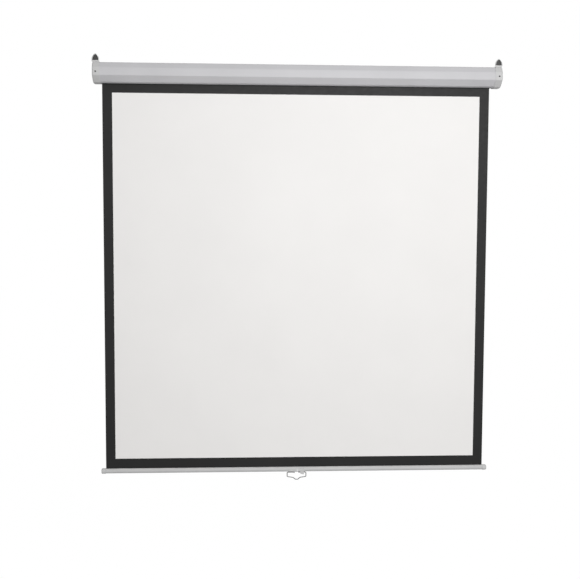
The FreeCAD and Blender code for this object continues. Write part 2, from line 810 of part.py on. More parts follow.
# Bottom bar: a slotted tube over the hem rod, with a cap in each end
bar_left_x = bar_x - bar_half
bar_right_x = bar_x + bar_half
bar_inner = bar_radius - bar_wall
bar = rod_x(bar_radius, bar_left_x, bar_right_x, fabric_y, bar_z)
bar = bar.cut(rod_x(bar_inner, bar_left_x - overrun, bar_right_x + overrun, fabric_y, bar_z))
bar_slot = box(
    bar_left_x - overrun,
    bar_right_x + overrun,
    fabric_y - bar_slot_width / 2,
    fabric_y + bar_slot_width / 2,
    bar_z,
    bar_z + bar_radius + overrun,
)
bar = bar.cut(bar_slot)
rod_left_x = fabric_left_x + hem_rod_inset
rod_right_x = fabric_right_x - hem_rod_inset
parts["hem_rod"] = rod_x(hem_rod_radius, rod_left_x, rod_right_x, fabric_y, hem_z)


def bar_cap(side):
    reach = sorted((bar_x + side * bar_half, bar_x + side * (bar_half + bar_cap_length)))
    cap = rod_x(bar_cap_radius, reach[0], reach[1], fabric_y, bar_z)
    end_x = bar_x + side * (bar_half + bar_cap_length)
    rim = [edge for edge in cap.Edges if abs(edge.BoundBox.Center.x - end_x) < bar_cap_fit]
    cap = cap.makeFillet(bar_cap_edge_radius, rim)
    inner = sorted((bar_x + side * bar_half, bar_x + side * (bar_half - bar_cap_spigot)))
    spigot = rod_x(bar_inner - bar_cap_fit, inner[0], inner[1], fabric_y, bar_z)
    keep = box(
        inner[0],
        inner[1],
        fabric_y - bar_radius,
        fabric_y + bar_radius,
        bar_z - bar_radius,
        bar_z + bar_cap_spigot_top,
    )
    return cap.fuse(spigot.common(keep)).removeSplitter()


parts["left_bar_cap"] = bar_cap(-1)
parts["right_bar_cap"] = bar_cap(1)

# Handle bracket: a saddle of sheet under the bar, with two knuckles and a catch tab
sheet_inner = bar_radius + bracket_gap
sheet_outer = sheet_inner + bracket_sheet
flange_front_y = fabric_y - sheet_outer
flange_back_y = fabric_y - sheet_inner
bracket_left_x = handle_x - bracket_half
bracket_right_x = handle_x + bracket_half
bracket_bottom_z = bar_z - sheet_outer
flange_top_z = bar_z + bracket_flange_top
saddle_room = box(
    bracket_left_x,
    bracket_right_x,
    flange_front_y,
    fabric_y + bracket_back_reach,
    bracket_bottom_z,
    flange_top_z,
)
bracket = rod_x(sheet_outer, bracket_left_x, bracket_right_x, fabric_y, bar_z).common(saddle_room)
flange_bottom_z = bar_z - bracket_flange_drop
flange = box(bracket_left_x, bracket_right_x, flange_front_y, fabric_y, flange_bottom_z, flange_top_z)
bracket = bracket.fuse(flange)
tab_right_x = bracket_right_x - tab_inset
tab_left_x = tab_right_x - tab_width
tab_bottom_z = bar_z - bar_radius - tab_drop
tab_wire = Part.makePolygon([
    Vector(tab_left_x, 0, bar_z + tab_top),
    Vector(tab_left_x, 0, tab_bottom_z + tab_chamfer),
    Vector(tab_left_x + tab_chamfer, 0, tab_bottom_z),
    Vector(tab_right_x, 0, tab_bottom_z),
    Vector(tab_right_x, 0, bar_z + tab_top),
    Vector(tab_left_x, 0, bar_z + tab_top),
])
bracket = bracket.fuse(slab_y(tab_wire, flange_front_y, flange_back_y))
left_knuckle_x = handle_x - handle_end_gap / 2 - knuckle_side_gap
right_knuckle_x = tab_left_x + knuckle_side_gap
knuckles = [
    (left_knuckle_x - knuckle_width, left_knuckle_x),
    (right_knuckle_x, right_knuckle_x + knuckle_width),
]
for knuckle in knuckles:
    barrel = rod_x(knuckle_radius, knuckle[0], knuckle[1], fabric_y, pivot_z)
    web_y = (fabric_y - knuckle_radius, fabric_y + knuckle_radius)
    below = box(knuckle[0], knuckle[1], web_y[0], web_y[1], pivot_z - knuckle_radius, bracket_bottom_z)
    web = box(knuckle[0], knuckle[1], web_y[0], web_y[1], pivot_z, bar_z - bar_inner)
    bracket = bracket.fuse(barrel.common(below)).fuse(web)
bore_left_x = bracket_left_x - overrun
bore_right_x = bracket_right_x + overrun
bracket = bracket.cut(rod_x(sheet_inner, bore_left_x, bore_right_x, fabric_y, bar_z))
bracket = bracket.cut(rod_x(wire_radius + running_gap, bore_left_x, bore_right_x, fabric_y, pivot_z))
bracket_screws = []
for place in bracket_screw_places:
    screw_x = handle_x + place
    screw_z = bar_z - bracket_screw_drop
    tip = Vector(screw_x, flange_front_y + bracket_screw_length, screw_z)
    bracket_screws.append(pan_screw(tip, Vector(0, 1, 0), bracket_screw_length, screw_head_radius))
    drill_end_y = flange_front_y + bracket_screw_length + overrun
    drill = rod_y(hole_radius, flange_front_y - overrun, drill_end_y, screw_x, screw_z)
    bracket = bracket.cut(drill)
    bar = bar.cut(drill)
parts["handle_bracket"] = bracket.removeSplitter()
parts["bracket_screws"] = Part.makeCompound(bracket_screws)
parts["bottom_bar"] = bar

# Pull handle: a bent wire bail that hangs from the knuckles
handle_half = [
    (handle_end_gap / 2, 0),
    (handle_half_width, 0),
    (handle_half_width, handle_elbow_drop),
    (handle_shoulder_x, handle_shoulder_drop),
    (handle_dip_x, handle_dip_drop),
]
handle_points = [Vector(handle_x - x, fabric_y, pivot_z - drop) for x, drop in handle_half]
handle_points += [Vector(handle_x + x, fabric_y, pivot_z - drop) for x, drop in reversed(handle_half)]
parts["pull_handle"] = pipe(rounded_path(handle_points, handle_bend_radius), wire_radius)

# What the joints need
print("roller axis Y 0, Z", roller_z, "fabric Y", fabric_y, "bar Z", bar_z)
print("handle pivot Z", pivot_z, "pawl pivots Z", roller_z - pawl_pivot_radius, roller_z + pawl_pivot_radius)
stop_gap = cap_bottom_z - (bar_z + bar_cap_radius)
print("travel from the ends of the bar to the lips of the end caps", stop_gap)

os.makedirs("parts", exist_ok=True)
for name, shape in parts.items():
    solids = shape.Solids
    volumes = [round(solid.Volume, 1) for solid in solids]
    print(name, shape.isValid(), len(solids), volumes[:4])
    shape.exportStep("parts/" + name + ".step")
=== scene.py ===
# %% [markdown]
# # A pull-down projection screen
#
# The screen is a long wall case with a spring roller in it. A white cloth with a printed black border
# hangs from the roller, and a weighted bar with a wire handle keeps the cloth straight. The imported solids
# give every size and every joint. This lesson models the pieces that show as clean meshes, dresses all of
# them with finishes, and lights them as in a small studio. Everything is in metres, with the front
# towards -Y.

import math

import bmesh
import bpy
from mathutils import Matrix, Vector


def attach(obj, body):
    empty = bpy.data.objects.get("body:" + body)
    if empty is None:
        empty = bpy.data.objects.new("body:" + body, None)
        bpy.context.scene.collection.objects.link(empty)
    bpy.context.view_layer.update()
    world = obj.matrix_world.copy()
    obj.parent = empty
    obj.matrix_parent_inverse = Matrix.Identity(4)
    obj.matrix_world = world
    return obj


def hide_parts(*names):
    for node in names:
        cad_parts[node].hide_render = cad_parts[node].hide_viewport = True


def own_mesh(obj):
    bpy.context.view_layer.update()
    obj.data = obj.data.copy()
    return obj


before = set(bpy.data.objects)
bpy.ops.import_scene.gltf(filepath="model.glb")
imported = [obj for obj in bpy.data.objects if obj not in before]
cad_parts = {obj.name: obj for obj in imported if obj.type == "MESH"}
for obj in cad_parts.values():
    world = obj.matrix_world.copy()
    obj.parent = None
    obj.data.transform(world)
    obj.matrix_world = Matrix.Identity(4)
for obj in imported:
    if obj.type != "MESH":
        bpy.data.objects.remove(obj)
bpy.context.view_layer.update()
bpy.context.scene.view_settings.view_transform = "Standard"

# %% [markdown]
# ## Working by hand, in code
#
# Modelling by hand is a round of three moves: select something, use a tool on it, look at the result. The
# helpers here do the selecting. A face, edge or vertex is picked by where it is, because a number in a
# list means nothing to a reader. Sizes are written in millimetres, as on a drawing, and turned into
# metres once.

# %% Helpers for selecting and shaping
MM = 0.001
NEAR = 1e-5  # two points this close, in metres, are in one place
CLOSE = 0.01  # the same for places in millimetres
WELD = 2e-6  # points this close, in metres, become one
FLAT = 0.99  # a face squarely across an axis has this much of its normal along it
ROUND = 0.5  # the profile of a bevel that is a plain arc


def mm(x, y, z):
    return Vector((x, y, z)) * MM


def only(obj):
    """Select one object alone and make it the active one."""
    bpy.ops.object.select_all(action="DESELECT")
    bpy.context.view_layer.objects.active = obj
    obj.select_set(True)


def open_piece(obj):
    only(obj)
    bpy.ops.object.mode_set(mode="EDIT")
    bpy.ops.mesh.select_all(action="SELECT")


def close_piece():
    bpy.ops.object.mode_set(mode="OBJECT")


def pick(kind, test):
    """Select the vertices, edges or faces of the open piece that pass a test, and say how many."""
    bpy.ops.mesh.select_mode(type=kind)
    bpy.ops.mesh.select_all(action="DESELECT")
    mesh = bpy.context.object.data
    shape = bmesh.from_edit_mesh(mesh)
    found = 0
    for item in {"VERT": shape.verts, "EDGE": shape.edges, "FACE": shape.faces}[kind]:
        if test(item):
            item.select_set(True)
            found += 1
    bmesh.update_edit_mesh(mesh)
    return found


def named(name, size=(1, 1, 1)):
    """Name the new primitive, stretch it to its size and settle its place into its mesh."""
    obj = bpy.context.object
    obj.name = name
    obj.data.name = name
    obj.scale = size
    bpy.ops.object.transform_apply(location=True, rotation=True, scale=True)
    return obj


def block(name, low, high):
    bpy.ops.object.select_all(action="DESELECT")
    bpy.ops.mesh.primitive_cube_add(size=1, location=(low + high) / 2)
    return named(name, high - low)


QUARTER = math.pi / 2
LYING = (0, QUARTER, 0)
UPRIGHT = (QUARTER, 0, 0)
ROUND_SIDES = 64


def round_bar(name, middle, radius, length, sides=ROUND_SIDES, ends="NGON"):
    """A cylinder that lies along X, with closed ends or with none."""
    bpy.ops.object.select_all(action="DESELECT")
    bpy.ops.mesh.primitive_cylinder_add(
        vertices=sides, radius=radius, depth=length, end_fill_type=ends, location=middle, rotation=LYING
    )
    return named(name)


def trim(place, outward):
    """Cut the open piece with a plane, drop what lies outward of it and close the cut."""
    bpy.ops.mesh.select_all(action="SELECT")
    bpy.ops.mesh.bisect(plane_co=place, plane_no=outward, use_fill=True, clear_outer=True)


def score(place, normal):
    """Draw a line round the open piece with a plane and drop nothing."""
    bpy.ops.mesh.select_all(action="SELECT")
    bpy.ops.mesh.bisect(plane_co=place, plane_no=normal)


def apply_modifier(obj, kind, **settings):
    only(obj)
    modifier = obj.modifiers.new(kind.lower(), kind)
    for setting, value in settings.items():
        setattr(modifier, setting, value)
    bpy.ops.object.modifier_apply(modifier=modifier.name)


def combine(obj, tool, operation):
    """Join a second shape to a piece or cut it away, and throw the second shape out."""
    apply_modifier(obj, "BOOLEAN", operation=operation, object=tool, solver="EXACT")
    bpy.data.objects.remove(tool, do_unlink=True)


def face_outwards(obj):
    open_piece(obj)
    bpy.ops.mesh.remove_doubles(threshold=WELD)
    bpy.ops.mesh.normals_make_consistent(inside=False)
    close_piece()


SMOOTH_ANGLE = 30


def smooth(obj, degrees=SMOOTH_ANGLE):
    """Smooth the rounded places and keep flat faces flat."""
    only(obj)
    bpy.ops.object.shade_smooth_by_angle(angle=math.radians(degrees))
    apply_modifier(obj, "WEIGHTED_NORMAL", keep_sharp=True)


def open_edges(obj):
    """How many edges don't join exactly two faces. A closed piece has none."""
    shape = bmesh.new()
    shape.from_mesh(obj.data)
    found = sum(len(edge.link_faces) != 2 for edge in shape.edges)
    shape.free()
    return found


def hand_over(obj, body, slot, *nodes):
    """Let a finished piece ride on a body in place of its solids."""
    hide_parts(*nodes)
    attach(obj, body)
    print(obj.name, "rides on", body, "faces:", len(obj.data.polygons), "open edges:", open_edges(obj))


# %% [markdown]
# ## The case
#
# The real case is one strip of thin steel, folded along its length: a soft fold at the top, a gently
# bowed front, a sharp fold below and a slot underneath where the cloth comes out. It could be drawn as an
# outline and pushed out along X. Here a block is planed down by one cut for each sloping face, because
# the same cuts, moved outward, then make the end caps that slip over it. The folds are bevels, each as
# wide as its radius asks.

# %% Case outline
CASE_BOTTOM, CASE_TOP = -111.0, -25.0
UNDERSIDE, UNDERSIDE_RUN = -115.0, 12.0
CASE_BACK = 40.0
FACE_Y, BOWED_Y = -38.5, -40.0
UPPER_FOLD, BOW_MIDDLE, LOWER_FOLD = -50.0, -67.5, -85.0
TOP_FRONT_Y, BOTTOM_FRONT_Y = -25.0, -10.0
FOLD_RADII = [2.5, 4.0, 3.0, 6.0, 8.0, 8.0, 120.0, 2.0]
FOLD_STEPS = [4, 3, 4, 6, 6, 5, 6, 3]
SLOPING = (0, 4, 5, 6, 7)


def outline_corners(drop):
    """The case from its end as (Y, Z) corners, anticlockwise, its bottom lowered by a drop."""
    slope = (BOTTOM_FRONT_Y - FACE_Y) / (LOWER_FOLD - CASE_BOTTOM)
    front_y = BOTTOM_FRONT_Y + slope * drop
    return [
        Vector((front_y, CASE_BOTTOM - drop)),
        Vector((front_y + UNDERSIDE_RUN, UNDERSIDE - drop)),
        Vector((CASE_BACK, UNDERSIDE - drop)),
        Vector((CASE_BACK, CASE_TOP)),
        Vector((TOP_FRONT_Y, CASE_TOP)),
        Vector((FACE_Y, UPPER_FOLD)),
        Vector((BOWED_Y, BOW_MIDDLE)),
        Vector((FACE_Y, LOWER_FOLD)),
    ]


def moved_out(corners, growth):
    """The same outline with every side moved outward: its new corners and its sides."""
    sides = []
    for i, start in enumerate(corners):
        run = (corners[(i + 1) % len(corners)] - start).normalized()
        outward = Vector((run.y, -run.x))
        sides.append((start + outward * growth, run, outward))
    new_corners = []
    for i, (point, run, _) in enumerate(sides):
        before, before_run, _ = sides[i - 1]
        gap = point - before
        turn = before_run.x * run.y - before_run.y * run.x
        reach = (gap.x * run.y - gap.y * run.x) / turn
        new_corners.append(before + before_run * reach)
    return new_corners, sides


def planed_block(name, x_low, x_high, growth=0.0, drop=0.0, softer=0.0):
    """A block of the case's outline between two X places, with every fold rounded."""
    corners, sides = moved_out(outline_corners(drop), growth)
    low = mm(x_low, min(c.x for c in corners), min(c.y for c in corners))
    high = mm(x_high, max(c.x for c in corners), max(c.y for c in corners))
    obj = block(name, low, high)
    open_piece(obj)
    for i in SLOPING:
        point, _, outward = sides[i]
        trim(mm(0, point.x, point.y), (0, outward.x, outward.y))
    for i, corner in enumerate(corners):
        ahead = corners[(i + 1) % len(corners)] - corner
        behind = corners[i - 1] - corner
        reach = (FOLD_RADII[i] + softer) / math.tan(ahead.angle(behind) / 2)
        y, z = corner * MM
        found = pick("EDGE", lambda e: all(abs(v.co.y - y) + abs(v.co.z - z) < NEAR for v in e.verts))
        if found != 1:
            print(name, "fold", i, "found", found, "edges")
        bpy.ops.mesh.bevel(offset=reach * MM, segments=FOLD_STEPS[i], profile=ROUND, affect="EDGES")
    close_piece()
    return obj


# %% Case cover
CASE_HALF = 937.7
CASE_WALL = 1.5
FABRIC_Y = 21.65
SLOT_HALF = 7.0
LIP_RISE = 6.5

case_cover = planed_block("case_cover", -CASE_HALF, CASE_HALF)
open_piece(case_cover)
pick("FACE", lambda f: abs(f.normal.x) > FLAT)
bpy.ops.mesh.delete(type="FACE")
for slot_y in (FABRIC_Y - SLOT_HALF, FABRIC_Y + SLOT_HALF):
    score(mm(0, slot_y, 0), (0, 1, 0))
pick("FACE", lambda f: f.normal.z < -FLAT and abs(f.calc_center_median().y / MM - FABRIC_Y) < SLOT_HALF)
bpy.ops.mesh.delete(type="FACE")


def on_slot_edge(edge):
    low = all(abs(v.co.z / MM - UNDERSIDE) < CLOSE for v in edge.verts)
    return low and all(abs(abs(v.co.y / MM - FABRIC_Y) - SLOT_HALF) < CLOSE for v in edge.verts)


print("slot edges:", pick("EDGE", on_slot_edge))
bpy.ops.mesh.extrude_edges_move(TRANSFORM_OT_translate={"value": (0, 0, LIP_RISE * MM)})
close_piece()
face_outwards(case_cover)
apply_modifier(case_cover, "SOLIDIFY", thickness=CASE_WALL * MM, offset=-1, use_even_offset=True)
smooth(case_cover)
hand_over(case_cover, "case", "case_paint", "case_shell")

# %% [markdown]
# ## The end caps
#
# Each cap is a plastic moulding that slips over the end of the case and hangs a little lower. Its outer
# edge is well rounded, and on top it carries a lug with a pointed window, closed from behind by the dark
# hanger plate. The cap is the case's own block moved outward, with the case's shape cut out of it. The
# pointed arch is drawn point by point as two arcs that meet, and pushed back to its depth. The leg below
# it leans in. The other cap is a mirrored copy.

# %% Pointed arch
LUG_X = 930.0
LUG_FRONT, LUG_BACK = -11.0, -5.0
ARCH_SPRING = -11.91
ARCH_SHIFT = 15.5
ARCH_STEPS = 16


def pointed_arch(name, x, half_width, base_z, front_y, back_y):
    """Two arcs that meet in a point, on two straight legs, pushed back to a depth."""
    radius = half_width + ARCH_SHIFT
    rise = math.acos(ARCH_SHIFT / radius)
    half = [(half_width, base_z)]
    for step in range(ARCH_STEPS + 1):
        angle = rise * step / ARCH_STEPS
        half.append((radius * math.cos(angle) - ARCH_SHIFT, ARCH_SPRING + radius * math.sin(angle)))
    points = [mm(x + across, front_y, z) for across, z in half]
    points += [mm(x - across, front_y, z) for across, z in reversed(half[:-1])]
    bpy.ops.object.select_all(action="DESELECT")
    bpy.ops.mesh.primitive_plane_add(size=MM, location=points[0])
    arch = named(name)
    open_piece(arch)
    bpy.ops.mesh.select_mode(type="VERT")
    bpy.ops.mesh.merge(type="CENTER")
    for here, there in zip(points, points[1:]):
        bpy.ops.mesh.extrude_vertices_move(TRANSFORM_OT_translate={"value": there - here})
    bpy.ops.mesh.select_all(action="SELECT")
    bpy.ops.mesh.edge_face_add()
    bpy.ops.mesh.extrude_region_move(TRANSFORM_OT_translate={"value": mm(0, back_y - front_y, 0)})
    close_piece()
    face_outwards(arch)
    return arch


# %% End cap with its lug
HALF_LENGTH = 942.0
CAP_REACH = 33.0
CAP_INNER = 938.0
CAP_GROWTH = 2.45
CAP_FIT = 0.25
CAP_LIP = 2.5
CAP_SOFTER = 4.95
CAP_EDGE, CAP_EDGE_STEPS = 6.0, 6
LUG_HALF, WINDOW_HALF = 16.5, 13.5
LUG_BASE, LUG_TOE, LUG_ANKLE = -28.55, -24.75, -18.75
LUG_LEAN = 4.5
LUG_EDGE, LUG_EDGE_STEPS = 0.7, 2
LUG_CORNER = math.radians(50)
WINDOW_SILL = -14.4
SPARE = 1.0

lug = pointed_arch("lug", -LUG_X, LUG_HALF, LUG_BASE, LUG_FRONT, LUG_BACK)
open_piece(lug)
score(mm(0, 0, LUG_ANKLE), (0, 0, 1))
score(mm(0, 0, LUG_TOE), (0, 0, 1))
pick("VERT", lambda v: v.co.z / MM < LUG_TOE + CLOSE)
bpy.ops.transform.translate(value=mm(LUG_LEAN, 0, 0))
close_piece()
window = pointed_arch("window", -LUG_X, WINDOW_HALF, WINDOW_SILL, LUG_FRONT - SPARE, LUG_BACK + SPARE)
combine(lug, window, "DIFFERENCE")
apply_modifier(
    lug, "BEVEL", width=LUG_EDGE * MM, segments=LUG_EDGE_STEPS, limit_method="ANGLE", angle_limit=LUG_CORNER
)

left_cap = planed_block(
    "left_cap_moulding", -HALF_LENGTH, CAP_REACH - HALF_LENGTH, CAP_GROWTH, CAP_LIP - CAP_GROWTH, CAP_SOFTER
)
open_piece(left_cap)
pick("EDGE", lambda e: all(abs(v.co.x / MM + HALF_LENGTH) < CLOSE for v in e.verts))
bpy.ops.mesh.bevel(offset=CAP_EDGE * MM, segments=CAP_EDGE_STEPS, profile=ROUND, affect="EDGES")
close_piece()
combine(left_cap, lug, "UNION")
pocket = planed_block("pocket", -CAP_INNER, CAP_REACH - HALF_LENGTH + SPARE, CAP_FIT, 0.0, CAP_FIT)
combine(left_cap, pocket, "DIFFERENCE")

# %% Mirrored cap and the bearings
ROLLER_Z = -65.0
BOSS_RADIUS, BOSS_SIDES = 12.0, 48
IDLE_BOSS_END = -917.0
BUSH_SEAT = -931.0
BUSH_HOLE = 7.07
TANG_BOSS_END = 918.0
TANG_HALF = 2.55
TANG_ROUND = 4.05
TANG_END = 935.05

only(left_cap)
bpy.ops.object.duplicate()
right_cap = bpy.context.object
right_cap.name = right_cap.data.name = "right_cap_moulding"
right_cap.scale.x = -1
bpy.ops.object.transform_apply(location=True, rotation=True, scale=True)


def along_x(name, x_low, x_high, radius):
    """A round bar on the roller's axis between two X places."""
    middle = mm((x_low + x_high) / 2, 0, ROLLER_Z)
    return round_bar(name, middle, radius * MM, (x_high - x_low) * MM, BOSS_SIDES)


for cap in (left_cap, right_cap):
    face_outwards(cap)
combine(left_cap, along_x("boss", -CAP_INNER - SPARE, IDLE_BOSS_END, BOSS_RADIUS), "UNION")
combine(left_cap, along_x("bore", BUSH_SEAT, IDLE_BOSS_END + SPARE, BUSH_HOLE), "DIFFERENCE")
combine(right_cap, along_x("boss", TANG_BOSS_END, CAP_INNER + SPARE, BOSS_RADIUS), "UNION")
key_low = mm(TANG_BOSS_END - SPARE, -TANG_HALF, ROLLER_Z - TANG_ROUND)
key_high = mm(TANG_END, TANG_HALF, ROLLER_Z + TANG_ROUND)
combine(right_cap, block("key", key_low, key_high), "DIFFERENCE")
for cap, node in ((left_cap, "left_end_cap"), (right_cap, "right_end_cap")):
    face_outwards(cap)
    smooth(cap)
    hand_over(cap, "case", "cap_plastic", node)

# %% [markdown]
# ## The bottom bar and its ends
#
# The bar is a round tube with a slot along its top for the hem of the cloth, and a rounded plug in each
# end. The tube starts as an open cylinder: a strip is scored along its top and deleted, and the wall gets
# its thickness. Each plug starts as a short cylinder. Its outer rim is bevelled round, and its inner face
# is inset, lowered and pushed into the tube as the spigot that holds it.

# %% Bar tube
BAR_X, BAR_Z = -5.0, -1924.5
BAR_RADIUS = 11.5
BAR_WALL = 1.2
BAR_HALF = 902.0
BAR_SLOT_HALF = 1.2
bar_middle = mm(BAR_X, FABRIC_Y, BAR_Z)

bar_tube = round_bar("bar_tube", bar_middle, BAR_RADIUS * MM, 2 * BAR_HALF * MM, ends="NOTHING")
open_piece(bar_tube)
for slot_y in (FABRIC_Y - BAR_SLOT_HALF, FABRIC_Y + BAR_SLOT_HALF):
    pick("FACE", lambda f: f.calc_center_median().z / MM > BAR_Z + BAR_RADIUS / 2)
    bpy.ops.mesh.bisect(plane_co=mm(0, slot_y, 0), plane_no=(0, 1, 0))


def in_bar_slot(face):
    middle = face.calc_center_median() / MM
    return middle.z > BAR_Z + BAR_RADIUS / 2 and abs(middle.y - FABRIC_Y) < BAR_SLOT_HALF


print("slot strips:", pick("FACE", in_bar_slot))
bpy.ops.mesh.delete(type="FACE")
close_piece()
apply_modifier(bar_tube, "SOLIDIFY", thickness=BAR_WALL * MM, offset=-1, use_even_offset=True)
smooth(bar_tube)
hand_over(bar_tube, "bar", "bar_paint", "bottom_bar")

# %% Bar ends
BAR_CAP_RADIUS = 13.0
BAR_CAP_LENGTH = 19.0
BAR_CAP_EDGE, BAR_CAP_STEPS = 5.0, 7
BAR_CAP_INNER_EDGE, BAR_CAP_INNER_STEPS = 0.6, 2
SPIGOT_INSET = 7.0
SPIGOT_LOWER = 4.0
SPIGOT_LENGTH = 14.0

for side, word in ((-1, "left"), (1, "right")):
    near_x = BAR_X + side * BAR_HALF
    middle = mm(near_x + side * BAR_CAP_LENGTH / 2, FABRIC_Y, BAR_Z)
    bar_end = round_bar(f"{word}_bar_end", middle, BAR_CAP_RADIUS * MM, BAR_CAP_LENGTH * MM)
    open_piece(bar_end)
    far_x = near_x + side * BAR_CAP_LENGTH
    outer_rim = (far_x, BAR_CAP_EDGE, BAR_CAP_STEPS)
    inner_rim = (near_x, BAR_CAP_INNER_EDGE, BAR_CAP_INNER_STEPS)
    for rim_x, width, steps in (outer_rim, inner_rim):
        pick("EDGE", lambda e: all(abs(v.co.x / MM - rim_x) < CLOSE for v in e.verts))
        bpy.ops.mesh.bevel(offset=width * MM, segments=steps, profile=ROUND, affect="EDGES")
    pick("FACE", lambda f: f.normal.x * side < -FLAT)
    bpy.ops.mesh.inset(thickness=SPIGOT_INSET * MM)
    bpy.ops.transform.translate(value=mm(0, 0, -SPIGOT_LOWER))
    bpy.ops.mesh.extrude_region_move(TRANSFORM_OT_translate={"value": mm(-side * SPIGOT_LENGTH, 0, 0)})
    close_piece()
    smooth(bar_end)
    hand_over(bar_end, "bar", "cap_plastic", f"{word}_bar_cap")

# %% [markdown]
# ## The wire handle
#
# The handle is one wire, bent into a flat bail with a dip for a finger or a hook. A curve with a round
# section would do, but the bends would be as round as the curve chose. Here a ring is drawn out along
# each straight run and spun about the middle of each bend, as the wire is bent over a pin, so every bend
# has its true radius.

# %% Pull handle
HANDLE_X, PIVOT_Z = -2.0, -1940.1
WIRE_RADIUS = 2.0
WIRE_SIDES = 20
BEND_RADIUS, BEND_STEPS = 4.0, 6
BAIL_HALF = [(8.0, 0.0), (45.0, 0.0), (45.0, 21.0), (16.5, 25.5), (6.0, 34.5)]
left_run = [mm(HANDLE_X - x, FABRIC_Y, PIVOT_Z - drop) for x, drop in BAIL_HALF]
right_run = [mm(HANDLE_X + x, FABRIC_Y, PIVOT_Z - drop) for x, drop in reversed(BAIL_HALF)]
bail_points = left_run + right_run

bpy.ops.object.select_all(action="DESELECT")
bpy.ops.mesh.primitive_circle_add(
    vertices=WIRE_SIDES, radius=WIRE_RADIUS * MM, location=bail_points[0], rotation=LYING
)
handle_bail = named("handle_bail")
open_piece(handle_bail)
here = bail_points[0]
for before, corner, after in zip(bail_points, bail_points[1:], bail_points[2:]):
    back = (before - corner).normalized()
    ahead = (after - corner).normalized()
    half = back.angle(ahead) / 2
    reach = BEND_RADIUS * MM / math.tan(half)
    bend_middle = corner + (back + ahead).normalized() * (BEND_RADIUS * MM / math.sin(half))
    start = corner + back * reach
    bpy.ops.mesh.extrude_edges_move(TRANSFORM_OT_translate={"value": start - here})
    turn_axis = (-back).cross(ahead).normalized()
    bpy.ops.mesh.spin(steps=BEND_STEPS, angle=2 * half - math.pi, center=bend_middle, axis=turn_axis)
    here = corner + ahead * reach
bpy.ops.mesh.extrude_edges_move(TRANSFORM_OT_translate={"value": bail_points[-1] - here})
for end in (bail_points[0], bail_points[-1]):
    found = pick("EDGE", lambda e: all((v.co - end).length < WIRE_RADIUS * MM + NEAR for v in e.verts))
    bpy.ops.mesh.edge_face_add()
    print("handle end closed over", found, "edges")
close_piece()
face_outwards(handle_bail)
smooth(handle_bail)
hand_over(handle_bail, "handle", "handle_wire", "pull_handle")

# %% [markdown]
# ## The cloth
#
# The cloth is a flat sheet, held straight by the weight of the bar, so it needs no simulation: a grid
# with a trace of unevenness is what the eye sees. It is made in three pieces. The first turns stay on the
# roller. The main sheet hangs from the roller down to the border. The lower black border goes up
# with the bar, and its end is spun round the rod in the hem.

# %% Main sheet
FABRIC_HALF = 900.0
FABRIC_THICK = 0.5
BORDER = 45.0
SHEET_LOW = -1866.0
SHEET_CELLS = (90, 90)
RIPPLE = 1.2
RIPPLE_SIZE = 0.45
cloth_width = 2 * FABRIC_HALF * MM
sheet_length = ROLLER_Z - SHEET_LOW


def flat_grid(name, low_z, high_z, cells):
    """An upright grid as wide as the cloth that faces the front, with its own flat map."""
    bpy.ops.object.select_all(action="DESELECT")
    middle = mm(BAR_X, FABRIC_Y, (low_z + high_z) / 2)
    bpy.ops.mesh.primitive_grid_add(
        x_subdivisions=cells[0], y_subdivisions=cells[1], size=1, location=middle, rotation=UPRIGHT
    )
    return named(name, (cloth_width, (high_z - low_z) * MM, 1))


def give_thickness(obj):
    """A second side and an edge, which take the piece's second finish."""
    apply_modifier(
        obj, "SOLIDIFY", thickness=FABRIC_THICK * MM, offset=0, material_offset=1, material_offset_rim=1
    )


screen_sheet = flat_grid("screen_sheet", SHEET_LOW, ROLLER_Z, SHEET_CELLS)
clouds = bpy.data.textures.new("uneven_hang", "CLOUDS")
clouds.noise_scale = RIPPLE_SIZE
apply_modifier(
    screen_sheet, "DISPLACE",
    texture=clouds, texture_coords="LOCAL", direction="Y", strength=RIPPLE * MM, mid_level=0.5,
)

# %% Lower border and its hem
HEM_Z = -1919.0
HEM_RADIUS = 3.5
HEM_STEPS = 28
HEM_SHARE = 0.97
BORDER_CELLS = (60, 3)
hem_turn = 2 * math.pi * HEM_SHARE
strip_low = HEM_Z + HEM_RADIUS
strip_length = SHEET_LOW - strip_low + HEM_RADIUS * hem_turn

lower_border = flat_grid("lower_border", strip_low, SHEET_LOW, BORDER_CELLS)
open_piece(lower_border)
pick("EDGE", lambda e: all(abs(v.co.z / MM - strip_low) < CLOSE for v in e.verts))
bpy.ops.mesh.spin(steps=HEM_STEPS, angle=hem_turn, center=mm(0, FABRIC_Y, HEM_Z), axis=(1, 0, 0))
close_piece()

# %% Turns on the roller
FIRST_TURN, LAST_TURN = 19.45, 20.85
TURNS = 2
TURN_STEPS = 96


def turn_point(step):
    share = step / TURN_STEPS
    angle = (1 - share) * TURNS * 2 * math.pi
    radius = FIRST_TURN + (LAST_TURN - FIRST_TURN) * share
    return mm(BAR_X, radius * math.cos(angle), ROLLER_Z + radius * math.sin(angle))


bpy.ops.object.select_all(action="DESELECT")
bpy.ops.mesh.primitive_plane_add(size=1, location=turn_point(0) + Vector((0, 0.5, 0)))
roller_turns = named("roller_turns", (cloth_width, 1, 1))
open_piece(roller_turns)
first_y = min(v.co.y for v in roller_turns.data.vertices)
pick("VERT", lambda v: v.co.y > first_y + NEAR)
bpy.ops.mesh.delete(type="VERT")
pick("EDGE", lambda e: True)
turns_length = 0.0
for step in range(TURN_STEPS):
    move = turn_point(step + 1) - turn_point(step)
    turns_length += move.length
    bpy.ops.mesh.extrude_edges_move(TRANSFORM_OT_translate={"value": move})
close_piece()
lengths = (sheet_length, strip_length, turns_length / MM)
print("lengths of sheet, strip and turns in mm:", [round(length, 1) for length in lengths])
